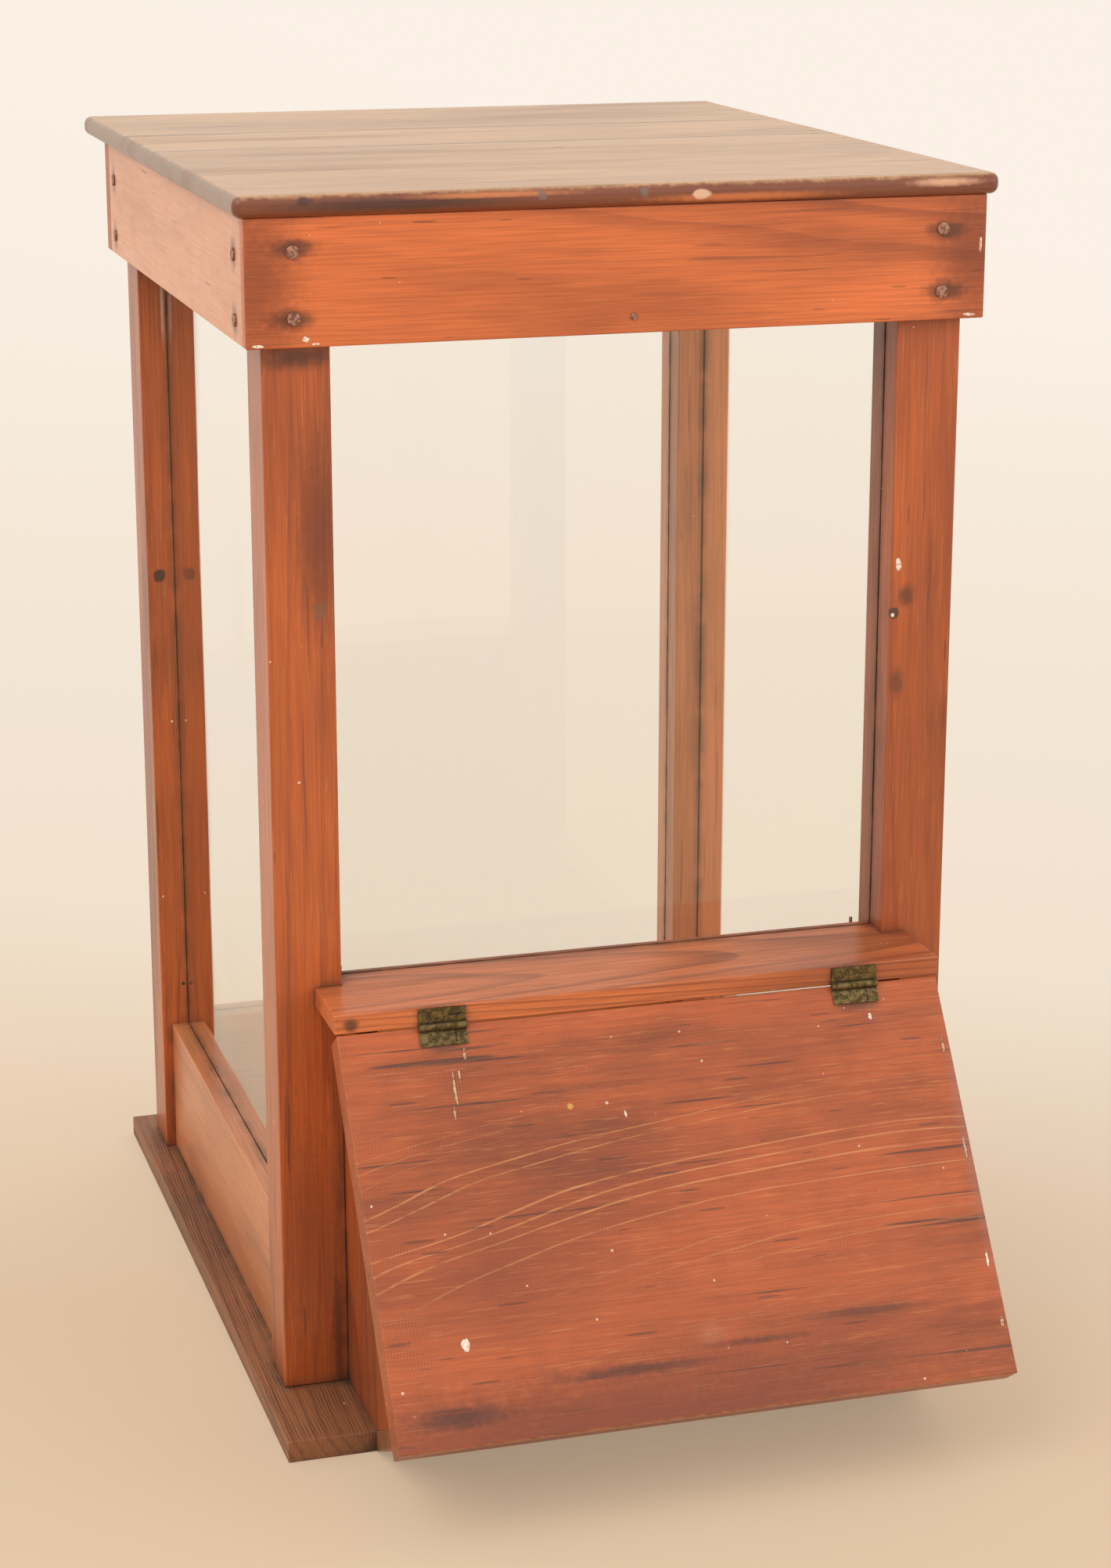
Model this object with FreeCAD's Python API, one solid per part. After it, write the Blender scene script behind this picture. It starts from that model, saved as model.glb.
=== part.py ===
"""Countertop display case: a nailed pine and glass cabinet with a sloping hinged bin lid.

Millimetres. X runs to the right, the lid faces -Y and +Z is up. The origin is the middle
of the case's width, between the four posts in depth, on the surface that the base rests on.
"""

import FreeCAD, Part
import math
import os

VEC = FreeCAD.Vector

# Case
frieze_width = 390.0          # outside, along X
frieze_height = 64.0
frieze_board = 9.0            # front and side frieze boards
frieze_back_board = 13.0      # the rougher back one
case_height = 638.0           # base underside to frieze top
case_depth = 392.4            # over the posts, along Y
case_shift_y = -2.2           # middle of the posts from the origin
arris = 0.8                   # worn corner radius of every board

# Top
top_board = 11.0
top_overhang_side = 5.5
top_overhang_front = 4.0
top_overhang_back = 43.0
top_front_width = 216.0
top_middle_width = 95.0
top_nosing = 4.5

# Posts and glass
post_side = 35.0
groove_width = 3.0
groove_depth = 5.0
glass_thickness = 2.4
glass_edge_gap = 0.4          # glass edge to the bottom of its side grooves
glass_top_gap = 3.0           # glass to the underside of the top

# Base and lower rails
base_board = 12.0
base_overhang_side = 12.0     # past the posts
base_overhang_front = 62.6
base_overhang_back = 22.0
rail_board = 23.0
rail_height = 82.0

# Shelf
shelf_top = 238.0
shelf_board = 10.5
shelf_width = 331.0
shelf_front_reach = 45.6      # in front of the posts
shelf_back_reach = 5.0        # behind the middle of the front glass
shelf_groove_depth = 3.0
seat_gap = 0.2                # shelf to post

# Bin
cheek_board = 12.0
lid_slope = 35.4              # degrees from vertical
lid_length = 214.0
lid_board = 16.0
lid_side_gap = 1.0            # lid's ends inside the shelf's ends
lid_rest_gap = 0.3
lid_head = 1.1                # lid's top edge above the pin's height on its face
bin_floor_slope = 26.0        # degrees from horizontal
bin_floor_cover = 4.0         # lid's lower edge below the bin floor's end

# Butt hinges
hinge_length = 25.0
hinge_left_x = -109.0
hinge_right_x = 117.0
hinge_leaf = 1.0
hinge_leaf_reach = 9.6        # pin centre to leaf edge
knuckle_radius = 2.1
pin_radius = 0.8
pin_fit = 0.05
knuckle_gap = 0.2
pin_head_radius = 1.5
pin_head_length = 0.5
knuckle_shares = (0.34, 0.66)
screw_head_radius = 2.9
screw_shank_radius = 1.1
screw_head_depth = 1.6
screw_length = 9.0
screw_slot_width = 0.7
screw_slot_depth = 0.6
screw_reach_share = 0.59      # of the leaf, from the pin
screw_spread_share = 0.26     # of the hinge, either side of its middle

# Nails
nail_shank_radius = 1.2
nail_head_radius = 3.3
nail_head = 0.9
nail_length = 22.0
nail_tiny_head_radius = 1.7
brad_radius = 0.9
brad_length = 28.0
nail_fit = 0.05
frieze_nail_inset = 15.0      # from the corner of the case
frieze_nail_upper = 17.0      # below the frieze's top edge
frieze_nail_lower = 49.5
frieze_nail_middle = 55.5
frieze_nail_middle_x = 4.0
brad_edge = 16.0

overrun = 1.0                 # past a face, for cuts

# Places worked out from the sizes above
half_case = frieze_width / 2
lid_width = shelf_width - 2 * lid_side_gap
post_out = half_case - frieze_board
post_in = post_out - post_side
post_mid = post_out - post_side / 2
front = case_shift_y - case_depth / 2
back = case_shift_y + case_depth / 2
front_in = front + post_side
back_in = back - post_side
front_mid = front + post_side / 2
back_mid = back - post_side / 2
frieze_bottom = case_height - frieze_height
rail_top = base_board + rail_height
shelf_bottom = shelf_top - shelf_board
shelf_front = front - shelf_front_reach
base_front = front - base_overhang_front
axis_y = shelf_front - knuckle_radius
axis_z = shelf_bottom
slope = math.radians(lid_slope)
down = VEC(0, -math.sin(slope), -math.cos(slope))
out = VEC(0, -math.cos(slope), math.sin(slope))
axis = VEC(0, axis_y, axis_z)
lid_top = axis - out * knuckle_radius
rise = math.radians(bin_floor_slope)
bin_floor_board = base_board * math.cos(rise)


def save(name, shape):
    os.makedirs("parts", exist_ok=True)
    shape.exportStep("parts/" + name + ".step")


def soften(shape, radius):
    return shape.makeFillet(radius, shape.Edges)


def block(x0, x1, y0, y1, z0, z1):
    return Part.makeBox(x1 - x0, y1 - y0, z1 - z0, VEC(x0, y0, z0))


def board(x0, x1, y0, y1, z0, z1):
    return soften(block(x0, x1, y0, y1, z0, z1), arris)


def prism(points, x0, x1):
    """Solid between two X planes over an outline of (y, z) points."""
    wire = Part.makePolygon([VEC(x0, y, z) for y, z in points + points[:1]])
    return Part.Face(wire).extrude(VEC(x1 - x0, 0, 0))


def mirror_x(shape):
    return shape.mirror(VEC(0, 0, 0), VEC(1, 0, 0))


def rod(start, direction, radius, length):
    return Part.makeCylinder(radius, length, start, direction)


# Nails and brads: places as (point on the face, direction into the wood)


def frieze_nail_places():
    rows = (case_height - frieze_nail_upper, case_height - frieze_nail_lower)
    lateral = half_case - frieze_nail_inset - frieze_board
    places = []
    for z in rows:
        for side in (-1, 1):
            places.append((VEC(side * lateral, front - frieze_board, z), VEC(0, 1, 0)))
            places.append((VEC(side * lateral, back + frieze_back_board, z), VEC(0, -1, 0)))
            for y in (front_mid, back_mid):
                places.append((VEC(side * half_case, y, z - nail_head_radius), VEC(-side, 0, 0)))
    return places


def middle_nail_places():
    z = case_height - frieze_nail_middle
    return [(VEC(frieze_nail_middle_x, front - frieze_board, z), VEC(0, 1, 0))]


def top_brad_places():
    z = case_height + top_board
    rows = (front + brad_edge, front + top_front_width - brad_edge * 2,
            front + top_front_width + brad_edge,
            front + top_front_width + top_middle_width - brad_edge,
            front + top_front_width + top_middle_width + brad_edge, back - brad_edge)
    x = half_case - frieze_board / 2
    return [(VEC(side * x, y, z), VEC(0, 0, -1)) for y in rows for side in (-1, 1)]


def base_brad_places():
    places = []
    for side in (-1, 1):
        for y in (front_mid, back_mid):
            for step in (-brad_edge / 2, brad_edge / 2):
                places.append((VEC(side * post_mid + step, y + step, 0), VEC(0, 0, 1)))
        for y in (front_in + brad_edge * 2, back_in - brad_edge * 2):
            places.append((VEC(side * post_mid, y, 0), VEC(0, 0, 1)))
        places.append((VEC(side * (post_in - brad_edge * 2), back_mid, 0), VEC(0, 0, 1)))
    return places


def shelf_brad_places():
    x = post_in - cheek_board / 2
    rows = (front_in - brad_edge / 4, front - brad_edge)
    return [(VEC(side * x, y, shelf_top), VEC(0, 0, -1)) for y in rows for side in (-1, 1)]


def cheek_brad_places():
    x = post_in - cheek_board
    rows = (base_board + rail_height / 2, shelf_bottom - rail_height / 2)
    y = front_in - brad_edge / 2
    return [(VEC(side * x, y, z), VEC(side, 0, 0)) for z in rows for side in (-1, 1)]


def bin_floor_brad_places():
    x = post_in - cheek_board / 2
    normal = VEC(0, math.sin(rise), math.cos(rise))
    run = VEC(0, -math.cos(rise), math.sin(rise))
    places = []
    for side in (-1, 1):
        for steps in (1, 3):
            start = VEC(side * x, base_front, 0) + run * (brad_edge * steps)
            places.append((start, normal))
    return places


def nail_solid(place, head_radius):
    point, into = place
    head = soften(rod(point - into * nail_head, into, head_radius, nail_head), nail_head / 4)
    return head.fuse(rod(point, into, nail_shank_radius, nail_length)).removeSplitter()


def brad_solid(place):
    point, into = place
    return rod(point, into, brad_radius, brad_length)


def nail_holes():
    tools = []
    for point, into in frieze_nail_places() + middle_nail_places():
        radius = nail_shank_radius + nail_fit
        tools.append(rod(point - into * overrun, into, radius, nail_length + overrun + nail_fit))
    brads = top_brad_places() + base_brad_places() + shelf_brad_places()
    for point, into in brads + cheek_brad_places() + bin_floor_brad_places():
        radius = brad_radius + nail_fit
        tools.append(rod(point - into * overrun, into, radius, brad_length + overrun + nail_fit))
    return tools


def drilled(shape, tools):
    """Cuts only the holes whose bounds meet the shape."""
    for tool in tools:
        if shape.BoundBox.intersect(tool.BoundBox):
            shape = shape.cut(tool)
    return shape


# Case


def posts():
    half = groove_width / 2
    left_front = board(-post_out, -post_in, front, front_in, base_board, case_height)
    side_groove = block(-post_mid - half, -post_mid + half, front_in - groove_depth,
                        front_in + overrun, base_board - overrun, case_height + overrun)
    face_groove = block(-post_in - groove_depth, -post_in + overrun, front_mid - half,
                        front_mid + half, base_board - overrun, case_height + overrun)
    left_front = left_front.cut(side_groove).cut(face_groove)
    left_back = left_front.mirror(VEC(0, case_shift_y, 0), VEC(0, 1, 0))
    return {
        "post_front_left": left_front,
        "post_front_right": mirror_x(left_front),
        "post_back_left": left_back,
        "post_back_right": mirror_x(left_back),
    }


def friezes():
    z0, z1 = frieze_bottom, case_height
    left = board(-half_case, -post_out, front, back, z0, z1)
    return {
        "frieze_front": board(-half_case, half_case, front - frieze_board, front, z0, z1),
        "frieze_back": board(-half_case, half_case, back, back + frieze_back_board, z0, z1),
        "frieze_left": left,
        "frieze_right": mirror_x(left),
    }


def top_piece(y0, y1, round_front, round_back):
    x = half_case + top_overhang_side
    piece = block(-x, x, y0, y1, case_height, case_height + top_board)
    nosed = []
    for edge in piece.Edges:
        box = edge.BoundBox
        across = box.XLength > top_board
        at_end = not across
        at_front = box.YMax < y0 + arris
        at_back = box.YMin > y1 - arris
        if across and ((at_front and round_front) or (at_back and round_back)):
            nosed.append(edge)
        elif at_end and box.YLength > top_board:
            nosed.append(edge)
        elif at_end and ((at_front and round_front) or (at_back and round_back)):
            nosed.append(edge)
    return piece.makeFillet(top_nosing, nosed)


def tops():
    y0 = front - frieze_board - top_overhang_front
    y1 = front + top_front_width
    y2 = y1 + top_middle_width
    y3 = back + frieze_back_board + top_overhang_back
    return {
        "top_board_front": top_piece(y0, y1, True, False),
        "top_board_middle": top_piece(y1, y2, False, False),
        "top_board_back": top_piece(y2, y3, False, True),
    }


def base():
    x = post_out + base_overhang_side
    return board(-x, x, base_front, back + base_overhang_back, 0, base_board)


def rails():
    half, slot = rail_board / 2, groove_width / 2
    left = board(-post_mid - half, -post_mid + half, front_in, back_in, base_board, rail_top)
    left = left.cut(block(-post_mid - slot, -post_mid + slot, front_in - overrun,
                          back_in + overrun, rail_top - groove_depth, rail_top + overrun))
    rear = board(-post_in, post_in, back_mid - half, back_mid + half, base_board, rail_top)
    rear = rear.cut(block(-post_in - overrun, post_in + overrun, back_mid - slot,
                          back_mid + slot, rail_top - groove_depth, rail_top + overrun))
    return {"rail_left": left, "rail_right": mirror_x(left), "rail_back": rear}


def panes():
    half = glass_thickness / 2
    into = groove_depth - glass_edge_gap
    top = case_height - glass_top_gap
    low = rail_top - groove_depth
    left = block(-post_mid - half, -post_mid + half, front_in - into, back_in + into, low, top)
    x = post_in + into
    return {
        "glass_left": left,
        "glass_right": mirror_x(left),
        "glass_back": block(-x, x, back_mid - half, back_mid + half, low, top),
        "glass_front": block(-x, x, front_mid - half, front_mid + half,
                             shelf_top - shelf_groove_depth, top),
    }


# Shelf and bin


def shelf():
    half, slot = shelf_width / 2, groove_width / 2
    rear = front_mid + shelf_back_reach
    neck = post_in - seat_gap
    outer = board(-half, half, shelf_front, front - seat_gap, shelf_bottom, shelf_top)
    inner = block(-neck, neck, front - post_side / 4, rear, shelf_bottom, shelf_top)
    bridge = block(-neck, neck, front - post_side / 2, front - post_side / 4,
                   shelf_bottom, shelf_top)
    plate = outer.fuse(inner.fuse(bridge)).removeSplitter()
    return plate.cut(block(-post_in, post_in, front_mid - slot, front_mid + slot,
                           shelf_top - shelf_groove_depth, shelf_top + overrun))


def lid_back_point(along, gap):
    """Point on the lid's inner face, and a gap behind it, at a distance down the slope."""
    return lid_top + down * along - out * (lid_board + gap)


def cheek_outline():
    foot = lid_back_point(lid_length - bin_floor_cover, lid_rest_gap)
    head = lid_back_point(0, lid_rest_gap)
    run_up = (shelf_bottom - head.z) / math.cos(slope)
    tip = head - down * run_up
    floor_z = base_board
    slant = (foot.z - floor_z - (base_front - foot.y) * math.tan(rise))
    back_off = slant / (math.cos(slope) + math.sin(slope) * math.tan(rise))
    low = foot + down * back_off
    return [(front_in, floor_z), (base_front, floor_z), (low.y, low.z),
            (tip.y, tip.z), (front_in, shelf_bottom)]


def cheeks():
    left = soften(prism(cheek_outline(), -post_in, -post_in + cheek_board), arris / 2)
    return {"cheek_left": left, "cheek_right": mirror_x(left)}


def bin_floor():
    low = cheek_outline()[2]
    normal = VEC(0, math.sin(rise), math.cos(rise))
    upper = VEC(0, low[0], low[1])
    lower = upper - normal * bin_floor_board
    run_back = (base_front - lower.y) / math.cos(rise)
    heel = lower + VEC(0, math.cos(rise), -math.sin(rise)) * run_back
    steep = math.tan(rise)
    run_down = ((upper.z - lower.z - (lower.y - upper.y) * steep)
                / (math.cos(slope) + math.sin(slope) * steep))
    nose = upper + down * run_down
    points = [(base_front, base_board), (upper.y, upper.z), (nose.y, nose.z), (heel.y, heel.z)]
    return soften(prism(points, -post_in, post_in), arris / 2)


def lid():
    half = lid_width / 2
    a = lid_top - down * lid_head
    b = lid_top + down * lid_length
    c = b - out * lid_board
    d = a - out * lid_board
    return soften(prism([(p.y, p.z) for p in (a, b, c, d)], -half, half), arris)


# Hinges, built with the pin along X at the origin and turned into place


def knuckle(x0, x1):
    start = VEC(x0, 0, 0)
    tube = Part.makeCylinder(knuckle_radius, x1 - x0, start, VEC(1, 0, 0))
    return tube.cut(Part.makeCylinder(pin_radius + pin_fit, x1 - x0, start, VEC(1, 0, 0)))


def leaf(fixed, direction):
    """One leaf: fixed carries the outer knuckles, the other the middle one."""
    first, last = [share * hinge_length - hinge_length / 2 for share in knuckle_shares]
    ends = hinge_length / 2
    plate = block(-ends, ends, knuckle_radius - hinge_leaf, knuckle_radius,
                  0, hinge_leaf_reach)
    if direction < 0:
        plate = plate.mirror(VEC(0, 0, 0), VEC(0, 0, 1))
    spans = [(-ends, first), (last, ends)] if fixed else [(first + knuckle_gap, last - knuckle_gap)]
    gaps = [(first, last)] if fixed else [(-ends, first + knuckle_gap), (last - knuckle_gap, ends)]
    for x0, x1 in gaps:
        clear = Part.makeCylinder(knuckle_radius + knuckle_gap, x1 - x0, VEC(x0, 0, 0), VEC(1, 0, 0))
        plate = plate.cut(clear)
    plate = plate.cut(Part.makeCylinder(pin_radius + pin_fit, hinge_length, VEC(-ends, 0, 0),
                                        VEC(1, 0, 0)))
    for x0, x1 in spans:
        plate = plate.fuse(knuckle(x0, x1))
    plate = plate.removeSplitter()
    for hole in screw_set(direction, nail_fit, False):
        plate = plate.cut(hole)
    return plate


def pin():
    ends = hinge_length / 2
    shape = Part.makeCylinder(pin_radius, hinge_length, VEC(-ends, 0, 0), VEC(1, 0, 0))
    for start in (-ends - pin_head_length, ends):
        shape = shape.fuse(Part.makeCylinder(pin_head_radius, pin_head_length,
                                             VEC(start, 0, 0), VEC(1, 0, 0)))
    return shape.removeSplitter()


def screw(grow, slotted):
    """Countersunk screw along +Y with its head's face at y = 0."""
    cone = Part.makeCone(screw_head_radius + grow, screw_shank_radius + grow, screw_head_depth,
                         VEC(0, 0, 0), VEC(0, 1, 0))
    shank = rod(VEC(0, 0, 0), VEC(0, 1, 0), screw_shank_radius + grow, screw_length + grow)
    shape = cone.fuse(shank).removeSplitter()
    if slotted:
        half = screw_slot_width / 2
        shape = shape.cut(block(-screw_head_radius, screw_head_radius, -overrun,
                                screw_slot_depth, -half, half))
    return shape


def screw_set(direction, grow, slotted):
    face = knuckle_radius - hinge_leaf
    reach = direction * hinge_leaf_reach * screw_reach_share
    made = []
    for side in (-1, 1):
        one = screw(grow, slotted)
        one.rotate(VEC(0, 0, 0), VEC(0, 1, 0), screw_turn(side, direction))
        one.translate(VEC(side * hinge_length * screw_spread_share, face, reach))
        made.append(one)
    return made


def screw_turn(side, direction):
    """Each slot ends at an angle of its own."""
    turn_share = (side + 2) * (direction + 3) / 12
    return 180 * turn_share


def placed(shape, x, lid_side):
    shape = shape.copy()
    if lid_side:
        shape.rotate(VEC(0, 0, 0), VEC(1, 0, 0), -lid_slope)
    shape.translate(VEC(x, axis_y, axis_z))
    return shape


def hinges():
    """Leaves, pins and screws by node name, and the screw holes for the two boards."""
    nodes = {}
    shelf_screws, lid_screws, shelf_holes, lid_holes = [], [], [], []
    for side, x in (("left", hinge_left_x), ("right", hinge_right_x)):
        nodes["hinge_" + side + "_shelf_leaf"] = placed(leaf(True, 1), x, False)
        nodes["hinge_" + side + "_lid_leaf"] = placed(leaf(False, -1), x, True)
        nodes["hinge_" + side + "_pin"] = placed(pin(), x, False)
        shelf_screws += [placed(s, x, False) for s in screw_set(1, 0, True)]
        lid_screws += [placed(s, x, True) for s in screw_set(-1, 0, True)]
        shelf_holes += [placed(s, x, False) for s in screw_set(1, nail_fit, False)]
        lid_holes += [placed(s, x, True) for s in screw_set(-1, nail_fit, False)]
    nodes["hinge_screws_shelf"] = Part.makeCompound(shelf_screws)
    nodes["hinge_screws_lid"] = Part.makeCompound(lid_screws)
    return nodes, shelf_holes, lid_holes


def nails():
    return {
        "nails_frieze": Part.makeCompound(
            [nail_solid(p, nail_head_radius) for p in frieze_nail_places()]),
        "nail_frieze_middle": nail_solid(middle_nail_places()[0], nail_tiny_head_radius),
        "brads_top": Part.makeCompound([brad_solid(p) for p in top_brad_places()]),
        "brads_base": Part.makeCompound([brad_solid(p) for p in base_brad_places()]),
        "brads_shelf": Part.makeCompound([brad_solid(p) for p in shelf_brad_places()]),
        "brads_cheeks": Part.makeCompound([brad_solid(p) for p in cheek_brad_places()]),
        "brads_bin_floor": Part.makeCompound([brad_solid(p) for p in bin_floor_brad_places()]),
    }


def main():
    hardware, shelf_holes, lid_holes = hinges()
    wood = {"base_board": base(), "bin_floor": bin_floor()}
    for group in (posts(), friezes(), tops(), rails(), cheeks()):
        wood.update(group)
    wood["hinge_shelf"] = shelf()
    holes = nail_holes()
    for name, shape in wood.items():
        save(name, drilled(shape, holes + shelf_holes))
    save("bin_lid", drilled(lid(), lid_holes))
    for group in (panes(), hardware, nails()):
        for name, shape in group.items():
            save(name, shape)


main()
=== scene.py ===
"""Looks of the countertop display case: old stained pine, glass, aged brass and iron nails."""

import math
import random

import bmesh
import bpy
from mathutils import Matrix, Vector


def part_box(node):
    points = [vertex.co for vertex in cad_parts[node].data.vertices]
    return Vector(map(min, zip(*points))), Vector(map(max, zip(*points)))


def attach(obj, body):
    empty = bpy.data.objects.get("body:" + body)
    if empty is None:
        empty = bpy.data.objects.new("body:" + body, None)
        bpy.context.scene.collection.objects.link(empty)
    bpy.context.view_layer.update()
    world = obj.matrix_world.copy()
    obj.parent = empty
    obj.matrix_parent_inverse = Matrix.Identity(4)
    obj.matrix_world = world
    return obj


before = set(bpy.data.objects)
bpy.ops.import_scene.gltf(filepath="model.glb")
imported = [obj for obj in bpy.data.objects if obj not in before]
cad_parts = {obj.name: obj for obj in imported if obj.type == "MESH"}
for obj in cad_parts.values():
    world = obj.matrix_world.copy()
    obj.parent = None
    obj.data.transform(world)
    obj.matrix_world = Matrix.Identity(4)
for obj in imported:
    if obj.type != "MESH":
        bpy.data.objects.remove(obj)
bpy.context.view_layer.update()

bl_info = {
    "name": "Countertop Display Case",
    "version": (1, 0, 0),
    "blender": (4, 5, 0),
    "location": "View3D > Sidebar > Display Case",
    "description": "Finishes the boards, panes, hinges and nails of a countertop display case",
    "category": "Object",
}

MM = 0.001

FLAKE_STEPS = 14

# The lid's outer face: its top line as (y, z) in mm and its lean
LID_TOP = (-244.39, 226.28)
LID_SLOPE = math.radians(35.4)

# The camera, solved from the photograph
IMAGE_HEIGHT = 2004.0
FOCAL_PIXELS = 4347.5
SENSOR_HEIGHT = 24.0
CAMERA_AZIMUTH = -16.4871
CAMERA_ELEVATION = 16.0794
CAMERA_TARGET = (24.2 * MM, 0.0, 278.1 * MM)
CAMERA_DISTANCE = 1996.4 * MM


def tone(red, green, blue):
    """Linear colour from 0 to 255 screen values."""
    def linear(value):
        value /= 255.0
        return value / 12.92 if value <= 0.04045 else ((value + 0.055) / 1.055) ** 2.4
    return (linear(red), linear(green), linear(blue))


def colour_prop(name, words, value):
    return bpy.props.FloatVectorProperty(
        name=name, description=words, subtype="COLOR", size=3, min=0.0, max=1.0, default=value)


def length_prop(name, words, value):
    return bpy.props.FloatProperty(
        name=name, description=words, unit="LENGTH", min=0.0, default=value)


class CaseFinish(bpy.types.PropertyGroup):
    """Colours of the wood, with its worn edges and their painted highlight, and its painted shade in
    corners.
    """

    stain_light: colour_prop("Stain, light", "Early wood of the stained faces", tone(196, 97, 38))
    stain_dark: colour_prop("Stain, dark", "Late wood of the stained faces", tone(112, 46, 18))
    stain_deep: colour_prop("Stain, deep", "Dark patches of old varnish", tone(66, 32, 18))
    lid_light: colour_prop("Lid, light", "Early wood of the bin lid", tone(190, 92, 38))
    # The top's pale tan tones are the wood with a painted sheen of the pale backdrop on its upper
    # face.
    top_light_and_sheen: colour_prop("Top, light", "Early wood of the top boards", tone(206, 160, 112))
    top_dark_and_sheen: colour_prop("Top, dark", "Late wood of the top boards", tone(150, 102, 66))
    base_light: colour_prop("Base, light", "Early wood of the base", tone(154, 98, 60))
    base_dark: colour_prop("Base, dark", "Late wood of the base", tone(92, 58, 36))
    # This pale colour also lightens the edges, as worn wood with a painted edge highlight.
    bare_wood_and_highlight: colour_prop("Bare wood", "Wood where the stain has worn off", tone(222, 150, 92))
    # This dark colour is also laid into closed-in corners by the crevice mask, where it paints shade
    # as well as soil.
    grime_and_shade: colour_prop("Grime", "Dirt in corners and round nails", tone(52, 34, 24))
    dust: colour_prop("Dust", "Pale specks and lint", tone(226, 200, 176))
    # Width of the pale edge line: worn wood with a painted edge highlight.
    arris_wear_and_highlight: length_prop("Worn edge", "Width of the worn line on each edge", 1.1 * MM)
    # Reach of the crevice mask that paints shade and soil into corners.
    crevice_reach: length_prop("Grime reach", "How far grime spreads from a corner", 9.0 * MM)


class HardwareFinish(bpy.types.PropertyGroup):
    """Colours of the metal and the glass."""

    brass: colour_prop("Brass", "Rubbed brass", tone(128, 108, 68))
    patina: colour_prop("Patina", "Dark tarnish on the brass", tone(84, 70, 44))
    iron: colour_prop("Iron", "Nail heads", tone(176, 134, 114))
    rust: colour_prop("Rust", "Rust on the nail heads", tone(122, 78, 60))
    pane: colour_prop("Pane", "Tint of the old glass", (0.995, 0.996, 0.986))


class StageFinish(bpy.types.PropertyGroup):
    """Colours and sizes of the plain surroundings."""

    near: colour_prop("Near floor", "Table colour round the case", tone(222, 197, 168))
    middle: colour_prop("Middle floor", "Table colour behind the case", tone(241, 226, 206))
    wall: colour_prop("Backdrop", "Colour of the backdrop", tone(251, 241, 230))
    depth: length_prop("Backdrop distance", "From the case to the foot of the backdrop", 3.0)
    sweep: length_prop("Sweep", "Radius of the curve from floor to backdrop", 0.9)
    width: length_prop("Stage width", "Across the floor", 14.0)
    height: length_prop("Stage height", "Top of the backdrop", 3.5)


# Node building


class Web:
    """Adds nodes to a tree and wires them by socket name."""

    def __init__(self, tree):
        self.tree = tree

    def add(self, kind, settings=None, **sockets):
        node = self.tree.nodes.new(kind)
        for key, value in (settings or {}).items():
            setattr(node, key, value)
        for key, value in sockets.items():
            self.feed(node, key, value)
        return node

    def feed(self, node, key, value):
        name = int(key[1:]) if key[0] == "i" and key[1:].isdigit() else key.replace("_", " ")
        socket = node.inputs[name]
        if isinstance(value, bpy.types.NodeSocket):
            self.tree.links.new(value, socket)
        else:
            socket.default_value = value

    def sum(self, operation, a, b=0.0, c=0.0, clamp=False):
        node = self.add("ShaderNodeMath", {"operation": operation, "use_clamp": clamp}, i0=a, i1=b)
        if operation in ("MULTIPLY_ADD", "WRAP"):
            self.feed(node, "i2", c)
        return node.outputs[0]

    def vector(self, operation, a, b=None, scale=None):
        node = self.add("ShaderNodeVectorMath", {"operation": operation}, i0=a)
        if b is not None:
            self.feed(node, "i1", b)
        if scale is not None:
            self.feed(node, "Scale", scale)
        return node.outputs["Value" if operation in ("LENGTH", "DOT_PRODUCT") else "Vector"]

    def noise(self, vector, scale, detail=2.0, roughness=0.5):
        return self.add("ShaderNodeTexNoise", None, Vector=vector, Scale=scale, Detail=detail,
                        Roughness=roughness)

    def ramp(self, value, low, high, out_low=0.0, out_high=1.0):
        node = self.add("ShaderNodeMapRange", {"interpolation_type": "SMOOTHSTEP"}, Value=value,
                        From_Min=low, From_Max=high, To_Min=out_low, To_Max=out_high)
        return node.outputs["Result"]

    def mix(self, share, a, b, blend="MIX"):
        node = self.add("ShaderNodeMix", {"data_type": "RGBA", "blend_type": blend})
        self.feed(node, "i0", share)
        self.feed(node, "i6", a)
        self.feed(node, "i7", b)
        return node.outputs[2]


def rgba(colour):
    return (colour[0], colour[1], colour[2], 1.0)


def new_group(name, inputs, outputs):
    """Shader node group; inputs as (name, default), a number or a triple; outputs as names."""
    tree = bpy.data.node_groups.new(name, "ShaderNodeTree")
    for label, value in inputs:
        kind = "NodeSocketVector" if isinstance(value, tuple) else "NodeSocketFloat"
        socket = tree.interface.new_socket(label, in_out="INPUT", socket_type=kind)
        socket.default_value = value
    for label in outputs:
        tree.interface.new_socket(label, in_out="OUTPUT", socket_type="NodeSocketFloat")
    web = Web(tree)
    return web, web.add("NodeGroupInput").outputs, web.add("NodeGroupOutput")


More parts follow.
